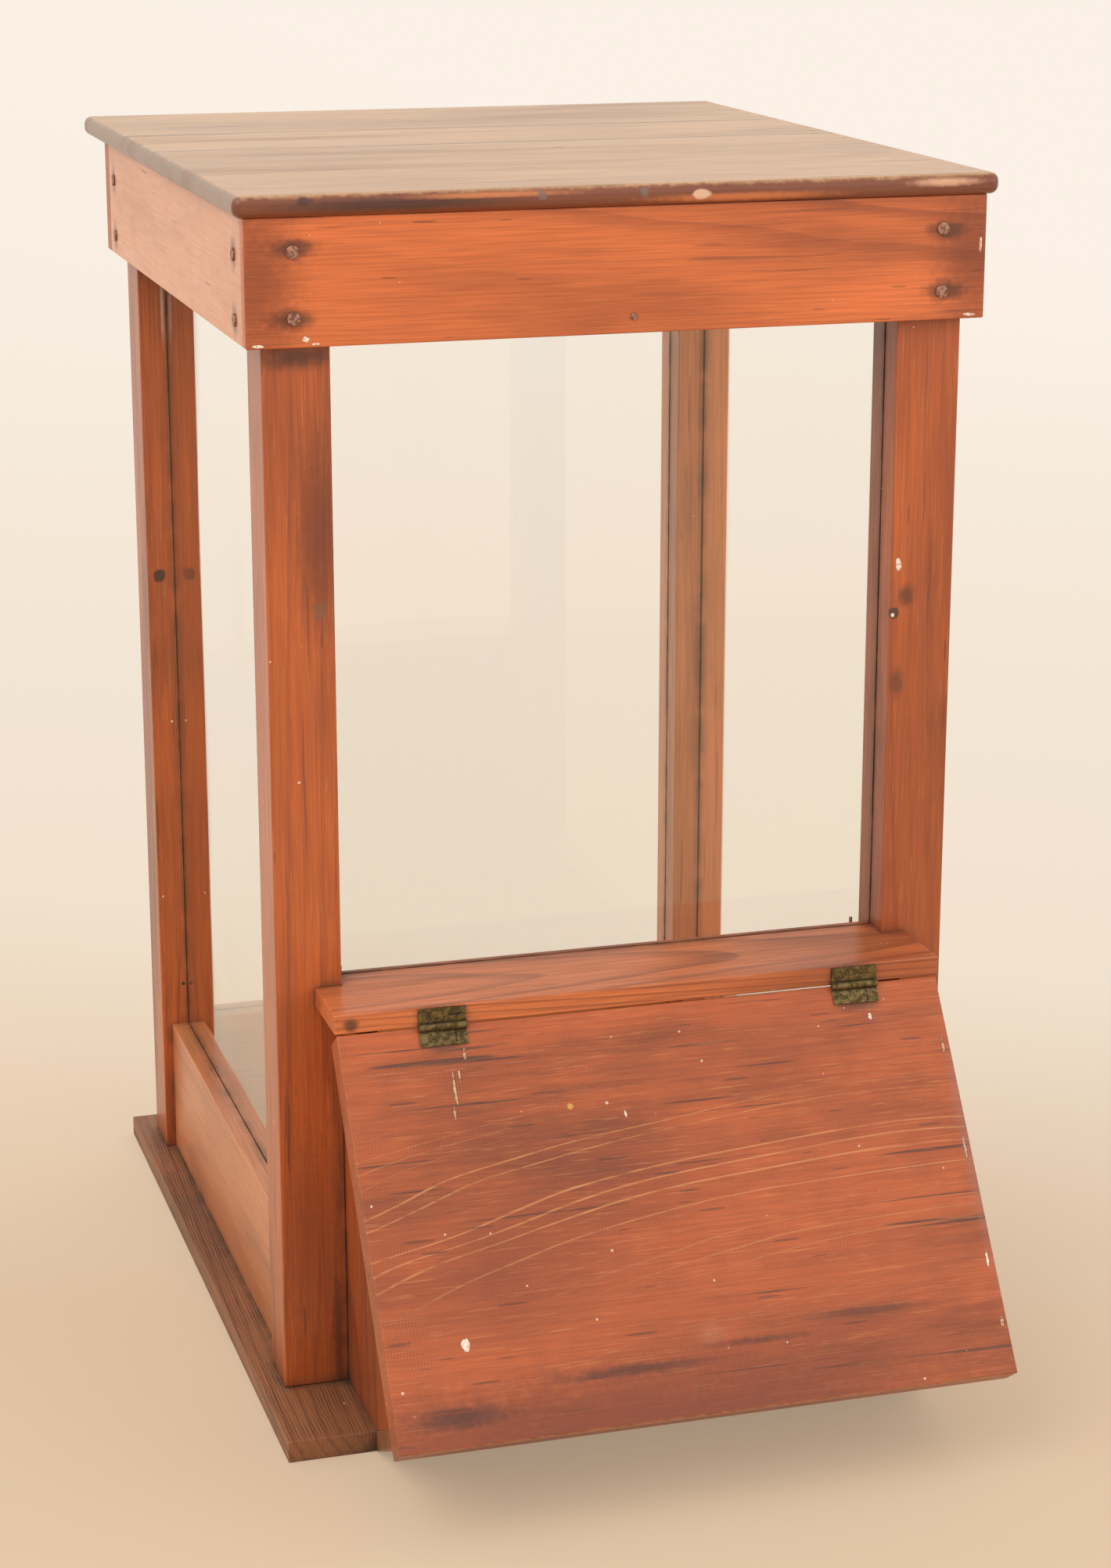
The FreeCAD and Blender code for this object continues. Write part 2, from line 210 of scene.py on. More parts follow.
def build_grain():
    """Growth rings round a pith along X, fibres along X and slow patches of stain."""
    web, given, out = new_group("pine_grain", [
        ("Vector", (0.0, 0.0, 0.0)), ("Pith", (0.0, 0.0, 0.1)), ("Rings", 240.0),
        ("Warp", 0.006), ("Taper", 0.03), ("Late wood", 0.45), ("Bow", 0.0)],
        ("Rings", "Fibre", "Patch", "Cloud", "Scratch", "Crack"))
    vector = given["Vector"]
    slow = web.vector("MULTIPLY", vector, (0.16, 1.0, 1.0))
    drift = web.noise(slow, 16.0, 2.0).outputs["Color"]
    drift = web.vector("SUBTRACT", drift, (0.5, 0.5, 0.5))
    drift = web.vector("SCALE", drift, scale=given["Warp"])
    bent = web.vector("SUBTRACT", web.vector("ADD", vector, drift), given["Pith"])
    radius = web.vector("LENGTH", web.vector("MULTIPLY", bent, (0.0, 1.0, 1.0)))
    along = web.add("ShaderNodeSeparateXYZ", None, Vector=vector).outputs["X"]
    radius = web.sum("ADD", radius, web.sum("MULTIPLY", along, given["Taper"]))
    bow = web.sum("MULTIPLY", web.sum("MULTIPLY", along, along), given["Bow"])
    radius = web.sum("ADD", radius, bow)
    turns = web.sum("MULTIPLY", radius, given["Rings"])
    place = web.sum("FRACT", turns)
    year = web.add("ShaderNodeTexWhiteNoise", {"noise_dimensions": "1D"},
                   W=web.sum("FLOOR", turns)).outputs["Value"]
    late = web.ramp(place, web.sum("SUBTRACT", 1.0, given["Late wood"]), 0.93)
    late = web.sum("MULTIPLY", late, web.ramp(place, 1.0, 0.95))
    web.feed(out, "Rings", web.sum("MULTIPLY", late, web.sum("MULTIPLY_ADD", year, 0.75, 0.25)))
    fine = web.noise(web.vector("MULTIPLY", vector, (0.025, 1.0, 1.0)), 800.0, 4.0, 0.6)
    web.feed(out, "Fibre", fine.outputs["Fac"])
    patch = web.noise(web.vector("MULTIPLY", vector, (0.16, 1.0, 1.0)), 24.0, 5.0, 0.62)
    web.feed(out, "Patch", patch.outputs["Fac"])
    cloud = web.noise(web.vector("MULTIPLY", vector, (0.35, 1.0, 1.0)), 9.0, 3.0, 0.55)
    web.feed(out, "Cloud", cloud.outputs["Fac"])
    scratch = web.noise(web.vector("MULTIPLY", vector, (0.03, 1.0, 1.0)), 1500.0, 2.0, 0.5)
    web.feed(out, "Scratch", web.ramp(scratch.outputs["Fac"], 0.60, 0.72))
    crack = web.noise(web.vector("MULTIPLY", vector, (0.03, 1.0, 1.0)), 260.0, 3.0, 0.5)
    web.feed(out, "Crack", web.ramp(crack.outputs["Fac"], 0.645, 0.70))
    return web.tree


def build_mark():
    """Ragged oval mark: 1 inside, 0 outside."""
    web, given, out = new_group("mark", [
        ("Vector", (0.0, 0.0, 0.0)), ("Centre", (0.0, 0.0, 0.0)), ("Half size", (0.01, 0.01, 0.01)),
        ("Ragged", 0.5), ("Soft", 0.4)], ("Mask",))
    away = web.vector("DIVIDE", web.vector("SUBTRACT", given["Vector"], given["Centre"]),
                      given["Half size"])
    rough = web.sum("SUBTRACT", web.noise(given["Vector"], 260.0, 3.0).outputs["Fac"], 0.5)
    reach = web.sum("ADD", web.vector("LENGTH", away), web.sum("MULTIPLY", rough, given["Ragged"]))
    web.feed(out, "Mask", web.ramp(reach, 1.0, web.sum("SUBTRACT", 1.0, given["Soft"])))
    return web.tree


def build_arris():
    """Edge mask, for worn edges and painted edge highlights: where the rounded normal leaves the
    true one.
    """
    web, given, out = new_group("arris_wear_and_highlight", [
        ("Vector", (0.0, 0.0, 0.0)), ("Radius", 0.001), ("Amount", 0.6)], ("Mask",))
    rounded = web.add("ShaderNodeBevel", {"samples": 4}, Radius=given["Radius"]).outputs["Normal"]
    true = web.add("ShaderNodeNewGeometry").outputs["Normal"]
    turn = web.sum("SUBTRACT", 1.0, web.vector("DOT_PRODUCT", rounded, true))
    edge = web.ramp(turn, 0.02, 0.22)
    patchy = web.ramp(web.noise(given["Vector"], 45.0, 4.0, 0.6).outputs["Fac"], 0.40, 0.66)
    web.feed(out, "Mask", web.sum("MULTIPLY", web.sum("MULTIPLY", edge, patchy), given["Amount"]))
    return web.tree


def build_crevice():
    """Mask of closed-in corners from ambient occlusion, for painted shade and the soil that gathers
    there: 1 where the surface is closed in.
    """
    web, given, out = new_group("crevice", [
        ("Vector", (0.0, 0.0, 0.0)), ("Reach", 0.009), ("Amount", 0.7)], ("Mask",))
    open_air = web.add("ShaderNodeAmbientOcclusion", {"samples": 4},
                       Distance=given["Reach"]).outputs["AO"]
    closed = web.ramp(open_air, 0.88, 0.40)
    uneven = web.ramp(web.noise(given["Vector"], 60.0, 3.0).outputs["Fac"], 0.30, 0.62, 0.35)
    web.feed(out, "Mask", web.sum("MULTIPLY", web.sum("MULTIPLY", closed, uneven), given["Amount"]))
    return web.tree


def build_specks():
    """Small scattered specks: 1 inside a speck."""
    web, given, out = new_group("specks", [
        ("Vector", (0.0, 0.0, 0.0)), ("Scale", 90.0), ("Share", 0.12), ("Size", 0.16)], ("Mask",))
    cells = web.add("ShaderNodeTexVoronoi", None, Vector=given["Vector"], Scale=given["Scale"])
    pick = web.add("ShaderNodeTexWhiteNoise", {"noise_dimensions": "3D"},
                   Vector=cells.outputs["Position"]).outputs["Value"]
    chosen = web.sum("LESS_THAN", pick, given["Share"])
    size = web.sum("MULTIPLY", given["Size"], web.sum("DIVIDE", pick, given["Share"]))
    dot = web.sum("LESS_THAN", cells.outputs["Distance"], size)
    web.feed(out, "Mask", web.sum("MULTIPLY", dot, chosen))
    return web.tree


def build_saw():
    """Saw marks: fine uneven ridges across the given axis."""
    web, given, out = new_group("saw_marks", [
        ("Vector", (0.0, 0.0, 0.0)), ("Across", (0.0, 1.0, 0.0)), ("Ridges", 420.0),
        ("Waver", 0.004)], ("Height",))
    wander = web.sum("SUBTRACT", web.noise(given["Vector"], 30.0, 2.0).outputs["Fac"], 0.5)
    run = web.sum("ADD", web.vector("DOT_PRODUCT", given["Vector"], given["Across"]),
                  web.sum("MULTIPLY", wander, given["Waver"]))
    wave = web.sum("SINE", web.sum("MULTIPLY", run, web.sum("MULTIPLY", given["Ridges"], math.tau)))
    strength = web.ramp(web.noise(given["Vector"], 55.0, 3.0).outputs["Fac"], 0.35, 0.7)
    web.feed(out, "Height", web.sum("MULTIPLY", web.sum("MULTIPLY_ADD", wave, 0.5, 0.5), strength))
    return web.tree


GROUPS = {}


def group_tree(name):
    if name not in GROUPS:
        GROUPS[name] = {"grain": build_grain, "mark": build_mark, "arris": build_arris,
                        "crevice": build_crevice, "specks": build_specks, "saw": build_saw}[name]()
    return GROUPS[name]


def use(web, name, **sockets):
    node = web.add("ShaderNodeGroup", {"node_tree": group_tree(name)})
    for key, value in sockets.items():
        web.feed(node, key, value)
    return node.outputs


# Wood


ORDER = {"X": 0, "Y": 1, "Z": 2}


def grain_vector(web, place, axes, turn):
    """Object place with the grain along X, the board's width along Y and its face along Z."""
    if turn:
        place = web.add("ShaderNodeMapping", None, Vector=place,
                        Rotation=(math.radians(turn), 0.0, 0.0)).outputs["Vector"]
    parts = web.add("ShaderNodeSeparateXYZ", None, Vector=place).outputs
    return web.add("ShaderNodeCombineXYZ", None, X=parts[ORDER[axes[0]]], Y=parts[ORDER[axes[1]]],
                   Z=parts[ORDER[axes[2]]]).outputs["Vector"]


def wood(name, light, dark, axes, pith, shift=(0.0, 0.0, 0.0), turn=0.0, rings=240.0, warp=0.009,
         taper=0.03, late=0.45, ring_share=0.75, patch=0.5, deep=None, wear_and_highlight=0.6, grime_and_shade=0.6,
         specks=0.05, rough=0.42, coat=0.25, bump=0.25, saw=None, marks=(), pale_lines=0.0,
         bow=0.0, cloud=0.6, pores=0.10, cracks=0.25, scratches=0.2, line_zone=None):
    """Stained pine. Marks are (centre mm, half size mm, colour, strength, soft)."""
    finish = bpy.context.scene.case_finish
    material = bpy.data.materials.new(name)
    material.use_nodes = True
    web = Web(material.node_tree)
    shader = material.node_tree.nodes["Principled BSDF"]
    place = web.add("ShaderNodeTexCoord").outputs["Object"]
    vector = web.vector("ADD", grain_vector(web, place, axes, turn), shift)
    grain = use(web, "grain", Vector=vector, Pith=pith, Rings=rings, Warp=warp, Taper=taper,
                Late_wood=late, Bow=bow)
    murk = web.sum("MULTIPLY", web.ramp(grain["Cloud"], 0.40, 0.66), cloud)
    body = web.mix(murk, rgba(light), rgba(dark))
    colour = web.mix(web.sum("MULTIPLY", grain["Rings"], ring_share), body, rgba(dark))
    fibre = web.ramp(grain["Fibre"], 0.30, 0.72)
    colour = web.mix(web.sum("MULTIPLY", fibre, 0.35), colour, rgba(dark))
    patches = web.ramp(grain["Patch"], 0.48, 0.74)
    colour = web.mix(web.sum("MULTIPLY", patches, patch), colour, rgba(deep or finish.stain_deep))
    colour = web.mix(web.sum("MULTIPLY", grain["Crack"], cracks), colour, rgba(finish.grime_and_shade))
    colour = web.mix(web.sum("MULTIPLY", grain["Scratch"], scratches), colour,
                     rgba(finish.bare_wood_and_highlight))
    if pale_lines:
        ridge = web.ramp(grain["Rings"], 0.30, 0.75)
        ridge = web.sum("MULTIPLY", ridge, web.ramp(grain["Fibre"], 0.30, 0.55))
        if line_zone:
            zone = use(web, "mark", Vector=place, Centre=tuple(v * MM for v in line_zone[0]),
                       Half_size=tuple(v * MM for v in line_zone[1]), Soft=0.5)["Mask"]
            ridge = web.sum("MULTIPLY", ridge, web.sum("MULTIPLY_ADD", zone, 0.85, 0.15))
        colour = web.mix(web.sum("MULTIPLY", ridge, pale_lines), colour, rgba(finish.bare_wood_and_highlight))
    flecks = use(web, "specks", Vector=web.vector("MULTIPLY", vector, (0.08, 1.0, 1.0)),
                Scale=330.0, Share=pores, Size=0.24)["Mask"]
    colour = web.mix(web.sum("MULTIPLY", flecks, 0.5), colour, rgba(finish.grime_and_shade))
    # Painted highlight: the edges are lightened to the pale worn-wood colour, standing for worn
    # arrises and the light they catch.
    edge = use(web, "arris", Vector=place, Radius=finish.arris_wear_and_highlight, Amount=wear_and_highlight)["Mask"]
    colour = web.mix(edge, colour, rgba(finish.bare_wood_and_highlight))
    # Painted shade: closed-in corners, found by ambient occlusion, are darkened to the soil colour,
    # standing for shade and soil together.
    dirt_and_shade = use(web, "crevice", Vector=place, Reach=finish.crevice_reach, Amount=grime_and_shade)["Mask"]
    colour = web.mix(dirt_and_shade, colour, rgba(finish.grime_and_shade))
    height = web.sum("MULTIPLY_ADD", grain["Rings"], 0.5, web.sum("MULTIPLY", fibre, 0.35))
    for centre, half, mark_colour, strength, soft in marks:
        mask = use(web, "mark", Vector=place, Centre=tuple(v * MM for v in centre),
                   Half_size=tuple(v * MM for v in half), Soft=soft)["Mask"]
        colour = web.mix(web.sum("MULTIPLY", mask, strength), colour, rgba(mark_colour))
    lint = use(web, "specks", Vector=place, Scale=120.0, Share=specks, Size=0.10)["Mask"]
    colour = web.mix(web.sum("MULTIPLY", lint, 0.8), colour, rgba(finish.dust))
    if saw:
        ridges = use(web, "saw", Vector=place, Across=saw[0], Ridges=saw[1])["Height"]
        height = web.sum("MULTIPLY_ADD", ridges, saw[2], height)
        colour = web.mix(web.sum("MULTIPLY", ridges, 0.35), colour, rgba(dark))
    web.feed(shader, "Base Color", colour)
    dull = web.sum("MULTIPLY_ADD", fibre, 0.12, rough)
    dull = web.sum("MULTIPLY_ADD", patches, 0.10, dull)
    web.feed(shader, "Roughness", web.sum("MULTIPLY_ADD", dirt_and_shade, 0.35, dull, clamp=True))
    shader.inputs["Coat Weight"].default_value = coat
    shader.inputs["Coat Roughness"].default_value = 0.22
    normal = web.add("ShaderNodeBump", None, Strength=bump, Distance=0.0006, Height=height)
    web.feed(shader, "Normal", normal.outputs["Normal"])
    return material


def paint(node, material):
    """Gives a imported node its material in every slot."""
    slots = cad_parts[node].material_slots
    if not slots:
        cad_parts[node].data.materials.append(material)
    for slot in slots:
        slot.material = material


def nail_halo(centre, reach=(16.0, 9.0, 7.0)):
    finish = bpy.context.scene.case_finish
    return (centre, reach, finish.stain_deep, 0.75, 0.75)


class CASE_OT_base(bpy.types.Operator):
    """Finishes the base board, with its grain from front to back"""

    bl_idname = "case.base"
    bl_label = "Base"

    def execute(self, context):
        finish = context.scene.case_finish
        paint("base_board", wood(
            "pine_base_board", finish.base_light, finish.base_dark, "YXZ", (0.0, 0.10, 0.16),
            rings=180.0, patch=0.7, deep=tone(60, 42, 30), wear_and_highlight=0.5, grime_and_shade=0.9, specks=0.16,
            rough=0.5, coat=0.12, bump=0.5, saw=((1.0, 0.0, 0.0), 520.0, 0.9)))
        return {"FINISHED"}


class CASE_OT_posts(bpy.types.Operator):
    """Finishes the four posts, each with its own grain and knots"""

    bl_idname = "case.posts"
    bl_label = "Posts"

    def execute(self, context):
        finish = context.scene.case_finish
        knot, pale = tone(70, 40, 28), tone(236, 220, 200)
        marks = {
            "post_front_left": [
                ((-159, -198, 439), (4, 4, 6), tone(120, 92, 74), 0.7, 0.6),
                ((-160, -198, 480), (14, 6, 70), finish.stain_dark, 0.7, 0.9),
                ((-168, -198, 568), (30, 6, 9), finish.stain_deep, 0.8, 0.9),
                ((-168, -198, 90), (30, 6, 90), finish.stain_dark, 0.5, 0.9),
                ((-156, -198, 40), (5, 6, 60), finish.stain_deep, 0.7, 0.9)],
            "post_front_right": [
                ((153.2, -198, 417), (4, 4, 4), knot, 0.9, 0.4),
                ((152.6, -198, 416), (1.2, 3, 1.2), pale, 1.0, 0.3),
                ((160, -198, 426), (7, 4, 9), finish.stain_deep, 0.7, 0.8),
                ((156, -198, 378), (6, 4, 12), finish.stain_deep, 0.6, 0.8)],
            "post_back_left": [
                ((-178.8, 159, 382), (4.5, 4, 5), knot, 0.95, 0.4),
                ((-172, 159, 545), (1.5, 3, 30), finish.dust, 0.5, 0.8),
                ((-172, 159, 120), (1.5, 3, 1.5), finish.grime_and_shade, 0.9, 0.4)],
            "post_back_right": [],
        }
        for number, (node, spots) in enumerate(marks.items()):
            offset = 0.31 * number
            light, dark = finish.stain_light, finish.stain_dark
            if node == "post_back_right":
                light, dark = tone(240, 152, 96), tone(172, 92, 50)
            paint(node, wood(
                "pine_" + node, light, dark, "ZXY",
                (0.0, 0.05 - 0.04 * number, 0.09), shift=(offset, 0.02 * number, 0.0),
                rings=190.0, taper=0.02, warp=0.016, ring_share=0.4, patch=0.6, wear_and_highlight=0.8,
                grime_and_shade=0.8, marks=spots, cloud=0.45, coat=0.5, specks=0.12, cracks=0.4))
        return {"FINISHED"}


class CASE_OT_frieze(bpy.types.Operator):
    """Finishes the four frieze boards, with stains round the nails, a painted reflection across the
    front board and a painted reflection paling the side boards
    """

    bl_idname = "case.frieze"
    bl_label = "Frieze"

    def execute(self, context):
        finish = context.scene.case_finish
        # The front board's stain is painted brighter than the other stained faces, a painted
        # reflection of the light from the front.
        glow = tone(232, 122, 62)
        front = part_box("frieze_front")[0][1] / MM
        # The first two marks darken both ends of the front board round its nails: nail stain and the
        # fall-off of the painted reflection together.
        halos = [((side * 190, front, 606), (34, 9, 60), finish.stain_dark, 0.7, 0.9)
                 for side in (-1, 1)]
        halos += [nail_halo((x, front, z)) for x, z in (
            (-170.5, 622.7), (-172, 588), (174, 620), (173.3, 589))]
        paint("frieze_front", wood(
            "pine_frieze_front", glow, finish.stain_dark, "XZY", (0.0, 0.585, 0.04),
            rings=230.0, taper=0.02, patch=0.28, wear_and_highlight=1.0, grime_and_shade=0.6, marks=halos, rough=0.38,
            ring_share=0.45, cloud=0.45, specks=0.2, cracks=0.35))
        paint("frieze_back", wood(
            "pine_frieze_back", finish.stain_light, finish.stain_dark, "XZY", (0.0, 0.52, 0.3),
            shift=(0.4, 0.0, 0.0), patch=0.6))
        for side, node in ((-1, "frieze_left"), (1, "frieze_right")):
            halos = [nail_halo((side * 195, y, z), (5, 9, 12)) for y in (-181, 177)
                     for z in (618, 585)]
            # The side boards' pale pinkish tones are the stain with a painted reflection of the pale
            # backdrop on their faces.
            paint(node, wood(
                "pine_" + node, tone(226, 158, 116), tone(184, 118, 84), "YZX",
                (0.0, 0.60, side * -0.12), shift=(0.2, 0.0, 0.0), patch=0.2, rough=0.42,
                ring_share=0.15, cloud=0.25, coat=0.5, marks=halos, cracks=0.1,
                saw=((0.0, 1.0, 0.0), 170.0, 2.2), specks=0.16))
        return {"FINISHED"}


class CASE_OT_top(bpy.types.Operator):
    """Finishes the three boards of the top, pale tan with a painted sheen, browner on the nosing"""

    bl_idname = "case.top"
    bl_label = "Top boards"

    def execute(self, context):
        finish = context.scene.case_finish
        nodes = ("top_board_front", "top_board_middle", "top_board_back")
        seams = [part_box(node)[0][1] / MM for node in nodes[1:]]
        for number, node in enumerate(nodes):
            low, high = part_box(node)
            ends = tone(126, 98, 78)
            nosing = [((0, y, 649), (3000, 1.5, 9), finish.grime_and_shade, 1.0, 0.3) for y in seams]
            nosing += [((side * 200.5, 0, 641), (5, 2000, 12), ends, 0.85, 0.35)
                      for side in (-1, 1)]
            if node == "top_board_front":
                edge = low[1] / MM
                nosing += [((0, edge, 640), (3000, 7, 10), finish.stain_dark, 0.9, 0.35),
                           ((-120, edge, 643), (85, 7, 5), finish.stain_deep, 0.85, 0.8),
                           ((60, edge, 641), (70, 7, 3), tone(210, 120, 66), 0.8, 0.8),
                           ((-70, edge, 646), (60, 4, 2), tone(214, 128, 70), 0.7, 0.8),
                           ((38, edge, 643), (6, 4, 3), tone(226, 188, 160), 0.9, 0.4),
                           ((170, edge, 645), (26, 5, 3), tone(226, 176, 140), 0.8, 0.8),
                           ((-45, edge, 645), (3, 4, 3), tone(120, 96, 84), 0.9, 0.4),
                           ((8, edge, 645), (3, 4, 3), tone(120, 96, 84), 0.9, 0.4),
                          ((-165, edge, 646), (5, 3, 3), finish.stain_deep, 0.8, 0.5),
                          ((20, -19, 649), (4, 3, 3), finish.stain_deep, 0.7, 0.5)]
            # The top boards take the pale tan tones, the wood with a painted sheen; the nosing marks
            # bring back the browner stain.
            paint(node, wood(
                "pine_" + node, finish.top_light_and_sheen, finish.top_dark_and_sheen, "XYZ",
                (0.0, (low[1] + high[1]) / 2 + 0.03 * number, 0.60 - 0.03 * number),
                shift=(0.37 * number, 0.0, 0.0), rings=300.0, taper=0.02, patch=0.4, wear_and_highlight=0.9,
                deep=tone(120, 78, 52), grime_and_shade=0.4, rough=0.34, coat=0.4, marks=nosing,
                ring_share=0.5, cloud=0.4, cracks=0.8, scratches=0.35, specks=0.12))
        return {"FINISHED"}


class CASE_OT_rails(bpy.types.Operator):
    """Finishes the lower rails that carry the panes"""

    bl_idname = "case.rails"
    bl_label = "Lower rails"

    def execute(self, context):
        finish = context.scene.case_finish
        for number, (node, axes) in enumerate((("rail_left", "YZX"), ("rail_right", "YZX"),
                                               ("rail_back", "XZY"))):
            paint(node, wood(
                "pine_" + node, tone(214, 134, 82), tone(160, 88, 50), axes,
                (0.0, 0.03, -0.10), shift=(0.23 * number, 0.0, 0.0), patch=0.4, wear_and_highlight=0.9,
                grime_and_shade=0.8, coat=0.5, ring_share=0.4, cloud=0.3, specks=0.12))
        return {"FINISHED"}


class CASE_OT_shelf(bpy.types.Operator):
    """Finishes the board that carries the lid's hinges"""

    bl_idname = "case.shelf"
    bl_label = "Shelf"

    def execute(self, context):
        finish = context.scene.case_finish
        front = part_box("hinge_shelf")[0][1] / MM
        marks = [((-157, front, 232), (6, 4, 5), finish.stain_deep, 0.8, 0.7),
                 ((-109, front, 233), (18, 5, 8), finish.grime_and_shade, 0.5, 0.6),
                 ((117, front, 233), (18, 5, 8), finish.grime_and_shade, 0.5, 0.6)]
        paint("hinge_shelf", wood(
            "pine_hinge_shelf", tone(214, 118, 64), finish.stain_dark, "XYZ",
            (0.0, -0.21, 0.12), rings=260.0, patch=0.4, wear_and_highlight=0.9, grime_and_shade=0.7, marks=marks,
            rough=0.40))
        return {"FINISHED"}


class CASE_OT_bin(bpy.types.Operator):
    """Finishes the bin's two cheeks and its sloping floor"""

    bl_idname = "case.bin_sides"
    bl_label = "Bin sides"

    def execute(self, context):
        finish = context.scene.case_finish
        for number, node in enumerate(("cheek_left", "cheek_right")):
            paint(node, wood(
                "pine_" + node, finish.stain_light, finish.stain_dark, "ZYX",
                (0.0, -0.20, 0.05), shift=(0.4 * number, 0.0, 0.0), patch=0.5, grime_and_shade=0.8))
        paint("bin_floor", wood(
            "pine_bin_floor", tone(150, 96, 62), finish.base_dark, "XYZ", (0.0, -0.3, 0.1),
            patch=0.5, wear_and_highlight=0.5, grime_and_shade=0.7))
        return {"FINISHED"}


class CASE_OT_lid(bpy.types.Operator):
    """Finishes the sloping lid, with raised pale grain and old scars"""

    bl_idname = "case.lid"
    bl_label = "Bin lid"

    def execute(self, context):
        finish = context.scene.case_finish
        marks = [((-95, -320, 128), (60, 30, 24), finish.stain_dark, 0.35, 0.9),
                 ((4.7, -345, 84.4), (11, 9, 9), tone(186, 130, 104), 0.25, 0.9),
                 ((-48.6, -272.5, 186.7), (2, 2, 2), tone(206, 160, 84), 0.9, 0.4),
                 ((-109, -249, 218), (17, 6, 8), finish.grime_and_shade, 0.6, 0.7),
                 ((117, -249, 218), (17, 6, 8), finish.grime_and_shade, 0.6, 0.7),
                 ((-40, -368, 54), (300, 40, 44), finish.stain_dark, 0.75, 0.95),
                 ((-130, -360, 64), (36, 12, 8), finish.stain_deep, 0.8, 0.9),
                 ((-40, -352, 74), (60, 6, 4), finish.stain_deep, 0.75, 0.9),
                 ((30, -350, 80), (44, 5, 3), finish.stain_deep, 0.7, 0.9),
                 ((90, -344, 86), (50, 6, 4), finish.stain_deep, 0.6, 0.9),
                 ((164, -300, 150), (7, 90, 110), tone(150, 108, 96), 0.5, 0.9),
                 # Pale line along the lid's bottom edge: worn wood with a painted edge highlight.
                 ((0, -370, 49.5), (400, 6, 3.5), finish.bare_wood_and_highlight, 0.8, 0.6)]
        paint("bin_lid", wood(
            "pine_bin_lid", finish.lid_light, finish.stain_dark, "XZY", (0.0, -0.40, 0.20),
            shift=(-0.09, 0.0, 0.0), turn=35.4, rings=300.0, taper=-0.03, warp=0.016, late=0.3,
            ring_share=0.10, patch=0.6, wear_and_highlight=1.0, grime_and_shade=0.3, specks=0.28, marks=marks, bump=0.5,
            pale_lines=0.6, bow=0.22, cloud=0.5, pores=0.34, cracks=0.75, scratches=0.3,
            line_zone=((0, -300, 146), (400, 60, 52)), saw=((1.0, 0.0, 0.0), 620.0, 0.25)))
        return {"FINISHED"}


def brass_material():
    finish = bpy.context.scene.hardware_finish
    material = bpy.data.materials.new("aged_brass")
    material.use_nodes = True
    web = Web(material.node_tree)
    shader = material.node_tree.nodes["Principled BSDF"]
    place = web.add("ShaderNodeTexCoord").outputs["Object"]
    blotch = web.noise(place, 320.0, 5.0, 0.65).outputs["Fac"]
    tarnish = web.ramp(blotch, 0.38, 0.60)
    dirt_and_shade = use(web, "crevice", Vector=place, Reach=0.0025, Amount=0.9)["Mask"]
    rubbed = use(web, "arris", Vector=place, Radius=0.0004, Amount=0.8)["Mask"]
    colour = web.mix(tarnish, rgba(finish.brass), rgba(finish.patina))
    colour = web.mix(rubbed, colour, rgba(tone(206, 180, 120)))
    colour = web.mix(dirt_and_shade, colour, rgba(tone(34, 28, 18)))
    web.feed(shader, "Base Color", colour)
    web.feed(shader, "Roughness", web.sum("MULTIPLY_ADD", tarnish, 0.25, 0.36))
    web.feed(shader, "Metallic", web.sum("MULTIPLY_ADD", dirt_and_shade, -0.6, 0.85, clamp=True))
    pits = web.noise(place, 900.0, 3.0).outputs["Fac"]
    normal = web.add("ShaderNodeBump", None, Strength=0.5, Distance=0.0003, Height=pits)
    web.feed(shader, "Normal", normal.outputs["Normal"])
    return material


class CASE_OT_hinges(bpy.types.Operator):
    """Finishes the butt hinges and their slotted screws"""

    bl_idname = "case.hinges"
    bl_label = "Hinges"

    def execute(self, context):
        material = brass_material()
        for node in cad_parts:
            if node.startswith("hinge_") and node != "hinge_shelf":
                paint(node, material)
        return {"FINISHED"}


def iron_material():
    finish = bpy.context.scene.hardware_finish
    material = bpy.data.materials.new("nail_iron")
    material.use_nodes = True
    web = Web(material.node_tree)
    shader = material.node_tree.nodes["Principled BSDF"]
    place = web.add("ShaderNodeTexCoord").outputs["Object"]
    blotch = web.ramp(web.noise(place, 500.0, 4.0, 0.6).outputs["Fac"], 0.40, 0.60)
    colour = web.mix(blotch, rgba(finish.iron), rgba(finish.rust))
    web.feed(shader, "Base Color", colour)
    shader.inputs["Metallic"].default_value = 0.35
    web.feed(shader, "Roughness", web.sum("MULTIPLY_ADD", blotch, 0.25, 0.45))
    dents = web.noise(place, 700.0, 2.0).outputs["Fac"]
    normal = web.add("ShaderNodeBump", None, Strength=0.35, Distance=0.0005, Height=dents)
    web.feed(shader, "Normal", normal.outputs["Normal"])
    return material


class CASE_OT_nails(bpy.types.Operator):
    """Finishes the nails and the hidden brads"""

    bl_idname = "case.nails"
    bl_label = "Nails"

    def execute(self, context):
        material = iron_material()
        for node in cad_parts:
            if node.startswith(("nail", "brads")):
                paint(node, material)
        return {"FINISHED"}


